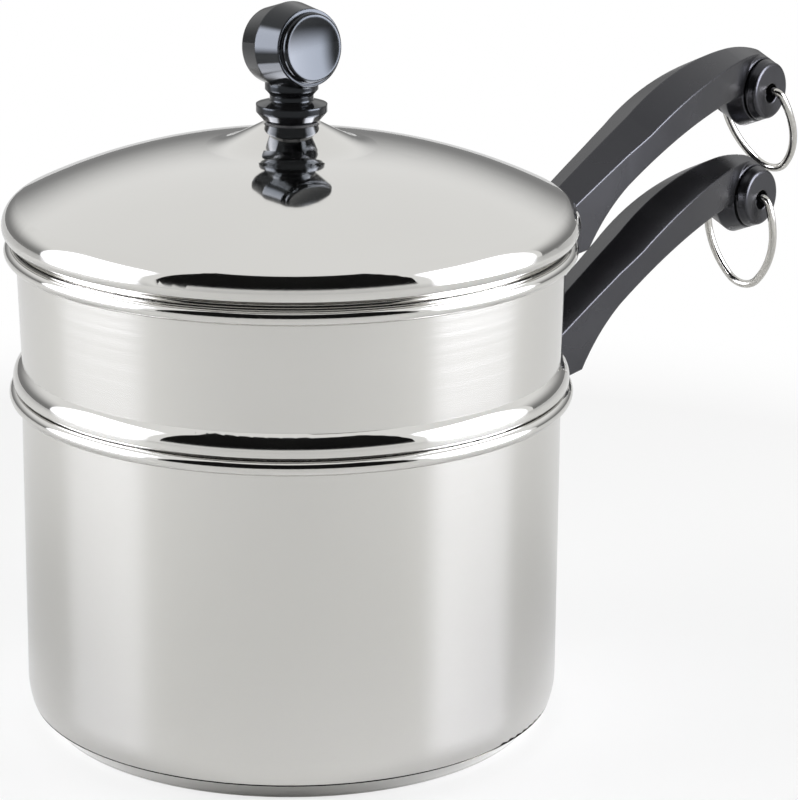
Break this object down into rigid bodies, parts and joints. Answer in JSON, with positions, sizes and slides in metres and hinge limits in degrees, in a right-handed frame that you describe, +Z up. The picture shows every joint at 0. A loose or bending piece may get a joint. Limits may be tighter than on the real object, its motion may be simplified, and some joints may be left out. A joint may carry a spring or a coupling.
{
  "type": "double boiler",
  "caption": "Stacked stove-top double boiler: steel saucepan with a thick base, nesting insert pan that lifts out, domed lid with a black drum knob, long black handles, swinging rings.",
  "frame": {"origin": "centre of the base's flat underside, where the saucepan stands on the hob", "axes": "+Z up along the pans' common axis; +X out along both handles; the rings swing about Y"},
  "size_m": [0.335, 0.1696, 0.2161],
  "materials": {
    "polished_steel": "mirror-polished stainless steel",
    "black_phenolic": "glossy black phenolic moulding",
    "ring_wire": "bright plated wire",
    "bracket_steel": "satin stainless steel",
    "core_aluminium": "plain rolled disc",
    "bush_brass": "turned brass",
    "gasket_fibre": "matt black fibre"
  },
  "bodies": {
    "saucepan": {"saucepan_shell": "polished_steel", "base_core": "core_aluminium", "base_cap": "polished_steel", "saucepan_bracket": "bracket_steel", "saucepan_handle": "black_phenolic", "saucepan_handle_screw": "bracket_steel", "saucepan_handle_washer": "bracket_steel"},
    "lower_ring": {"saucepan_ring": "ring_wire"},
    "insert": {"insert_pan": "polished_steel", "insert_bracket": "bracket_steel", "insert_handle": "black_phenolic", "insert_handle_screw": "bracket_steel", "insert_handle_washer": "bracket_steel"},
    "upper_ring": {"insert_ring": "ring_wire"},
    "lid": {"lid_shell": "polished_steel", "lid_knob": "black_phenolic", "knob_bush": "bush_brass", "knob_gasket": "gasket_fibre", "knob_washer": "bracket_steel", "knob_screw": "bracket_steel"}
  },
  "joints": [
    {"name": "insert_lift", "type": "slide", "parent": "saucepan", "child": "insert", "axis": [0, 0, 1], "range_m": [0, 0.07]},
    {"name": "lid_lift", "type": "slide", "parent": "insert", "child": "lid", "axis": [0, 0, 1], "range_m": [0, 0.04]},
    {"name": "saucepan_ring_swing", "type": "hinge", "parent": "saucepan", "child": "lower_ring", "pos_m": [0.23113, 0, 0.11927], "axis": [0, -1, 0], "range_deg": [-70, 90]},
    {"name": "insert_ring_swing", "type": "hinge", "parent": "insert", "child": "upper_ring", "pos_m": [0.2344, 0, 0.1561], "axis": [0, -1, 0], "range_deg": [-6, 65]}
  ]
}
